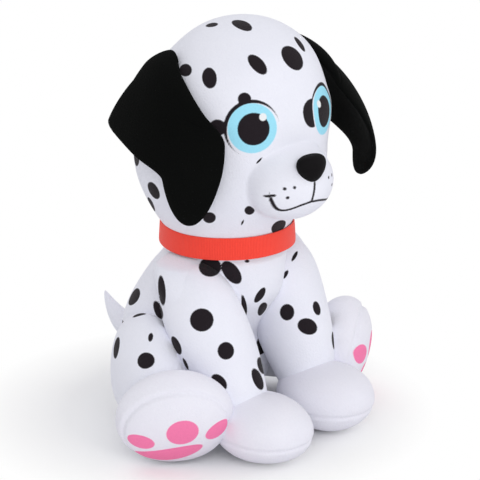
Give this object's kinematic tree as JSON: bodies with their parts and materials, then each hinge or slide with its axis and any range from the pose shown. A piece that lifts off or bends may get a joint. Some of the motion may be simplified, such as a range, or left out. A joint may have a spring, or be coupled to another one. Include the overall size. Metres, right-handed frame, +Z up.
{
  "type": "plush dog",
  "caption": "Sitting stuffed puppy with a large round head, flap ears, spotted white plush, stuffed limbs, a short tail and a red ribbon collar.",
  "frame": {"origin": "middle of the flat seat, on the surface that the puppy sits on", "axes": "+Z up from the seat to the crown of the head, -Y the way the chest faces, +X the puppy's left side"},
  "size_m": [0.1996, 0.1881, 0.2416],
  "materials": {
    "white_plush": "short white pile with printed black spots, eyes, mouth and pink pads",
    "black_plush": "short black pile",
    "nose_cloth": "smooth black cloth, padded",
    "red_ribbon": "ribbed red ribbon",
    "filling": "loose polyester wadding",
    "pellets": "thin cloth bag of plastic pellets"
  },
  "bodies": {
    "torso": {"body_skin": "white_plush", "body_filling": "filling", "pellet_bag": "pellets"},
    "head": {"head_skin": "white_plush", "muzzle_skin": "white_plush", "head_filling": "filling", "nose_pad": "nose_cloth"},
    "left_ear": {"ear_left": "black_plush"},
    "right_ear": {"ear_right": "black_plush"},
    "front_leg_left": {"front_leg_left_skin": "white_plush", "front_paw_left_skin": "white_plush", "front_paw_left_sole": "white_plush", "front_leg_left_filling": "filling"},
    "hind_leg_left": {"hind_leg_left_skin": "white_plush", "hind_foot_left_skin": "white_plush", "hind_foot_left_sole": "white_plush", "hind_leg_left_filling": "filling"},
    "front_leg_right": {"front_leg_right_skin": "white_plush", "front_paw_right_skin": "white_plush", "front_paw_right_sole": "white_plush", "front_leg_right_filling": "filling"},
    "hind_leg_right": {"hind_leg_right_skin": "white_plush", "hind_foot_right_skin": "white_plush", "hind_foot_right_sole": "white_plush", "hind_leg_right_filling": "filling"},
    "tail": {"tail_skin": "white_plush", "tail_filling": "filling"},
    "collar": {"collar_ribbon": "red_ribbon"}
  },
  "joints": [
    {"name": "head_turn", "type": "hinge", "parent": "torso", "child": "head", "pos_m": [0, -0.022, 0.1205], "axis": [0, 0, 1], "range_deg": [-25, 25], "stiffness_Nm_per_rad": 0.06},
    {"name": "ear_left_lift", "type": "hinge", "parent": "head", "child": "left_ear", "pos_m": [0.03879, -0.03525, 0.23126], "axis": [-0.2079, -0.9781, 0], "range_deg": [0, 80]},
    {"name": "ear_right_lift", "type": "hinge", "parent": "head", "child": "right_ear", "pos_m": [-0.04485, -0.01747, 0.22529], "axis": [0.2079, 0.9781, 0], "range_deg": [0, 80]},
    {"name": "front_leg_left_swing", "type": "hinge", "parent": "torso", "child": "front_leg_left", "pos_m": [0.038, -0.022, 0.104], "axis": [-1, 0, 0], "range_deg": [0, 30], "stiffness_Nm_per_rad": 0.08},
    {"name": "front_leg_right_swing", "type": "hinge", "parent": "torso", "child": "front_leg_right", "pos_m": [-0.038, -0.022, 0.104], "axis": [-1, 0, 0], "range_deg": [0, 30], "stiffness_Nm_per_rad": 0.08},
    {"name": "hind_leg_left_splay", "type": "hinge", "parent": "torso", "child": "hind_leg_left", "pos_m": [0.046, 0.021, 0.047], "axis": [0, 0, 1], "range_deg": [0, 25], "stiffness_Nm_per_rad": 0.08},
    {"name": "hind_leg_right_splay", "type": "hinge", "parent": "torso", "child": "hind_leg_right", "pos_m": [-0.046, 0.021, 0.047], "axis": [0, 0, -1], "range_deg": [0, 25], "stiffness_Nm_per_rad": 0.08},
    {"name": "tail_lift", "type": "hinge", "parent": "torso", "child": "tail", "pos_m": [0, 0.05, 0.0463], "axis": [1, 0, 0], "range_deg": [0, 40], "stiffness_Nm_per_rad": 0.01},
    {"name": "collar_turn", "type": "hinge", "parent": "torso", "child": "collar", "pos_m": [0, -0.022, 0.1205], "axis": [0, 0, 1], "continuous": true}
  ]
}
